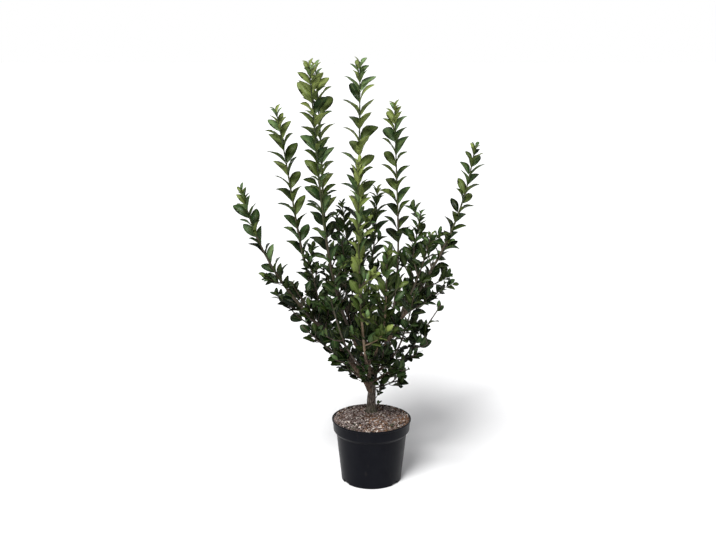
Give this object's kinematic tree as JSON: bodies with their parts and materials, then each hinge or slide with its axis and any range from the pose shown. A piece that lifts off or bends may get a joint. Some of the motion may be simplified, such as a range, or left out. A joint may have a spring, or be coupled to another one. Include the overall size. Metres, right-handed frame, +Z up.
{
  "type": "potted privet",
  "caption": "Multi-stemmed evergreen shrub with a short trunk, upright leafy whips over a dense low bush, growing in a round plastic nursery pot with a rim band.",
  "frame": {"origin": "centre of the pot's flat underside, where it stands", "axes": "+Z up, the plant's tall direction; -Y the side that faces a viewer in front of the plant; +X to that viewer's right"},
  "size_m": [0.6766, 0.5735, 1.2194],
  "materials": {
    "pot": "satin black moulded plastic",
    "compost": "rough, fibrous compost",
    "bark": "matt, finely ridged bark",
    "young_bark": "matt, smooth young bark",
    "leaves": "semi-gloss evergreen leaves"
  },
  "bodies": {
    "root": {"pot": "pot", "soil": "compost", "trunk": "bark", "bough_far_left": "young_bark", "bough_left": "young_bark", "bough_top_left_front": "young_bark", "bough_top_left_back": "young_bark", "bough_centre_back": "young_bark", "bough_centre_front": "young_bark", "bough_right_back": "young_bark", "bough_far_right": "young_bark", "bough_back": "young_bark", "bough_right_inner": "young_bark", "bough_right_front": "young_bark", "bough_right_low_back": "young_bark", "bough_right_low_front": "young_bark", "bough_front_high": "young_bark", "bough_left_twiggy": "young_bark", "bough_left_low_back": "young_bark", "bough_left_low_front": "young_bark", "bough_left_inner": "young_bark", "bough_left_lowest": "young_bark", "bough_centre_left": "young_bark", "bough_centre_left_front": "young_bark", "bough_front_right": "young_bark", "bough_back_left": "young_bark", "bough_back_right": "young_bark", "bough_back_low": "young_bark", "bough_front_left": "young_bark", "foliage_far_left": "leaves", "foliage_left": "leaves", "foliage_top_left_front": "leaves", "foliage_top_left_back": "leaves", "foliage_centre_back": "leaves", "foliage_centre_front": "leaves", "foliage_right_back": "leaves", "foliage_far_right": "leaves", "foliage_back": "leaves", "foliage_right_inner": "leaves", "foliage_right_front": "leaves", "foliage_right_low_back": "leaves", "foliage_right_low_front": "leaves", "foliage_front_high": "leaves", "foliage_left_twiggy": "leaves", "foliage_left_low_back": "leaves", "foliage_left_low_front": "leaves", "foliage_left_inner": "leaves", "foliage_left_lowest": "leaves", "foliage_centre_left": "leaves", "foliage_centre_left_front": "leaves", "foliage_front_right": "leaves", "foliage_back_left": "leaves", "foliage_back_right": "leaves", "foliage_back_low": "leaves", "foliage_front_left": "leaves", "foliage_lowest_right": "leaves", "foliage_low_front": "leaves", "foliage_low_back": "leaves", "foliage_low_left": "leaves"}
  },
  "joints": []
}
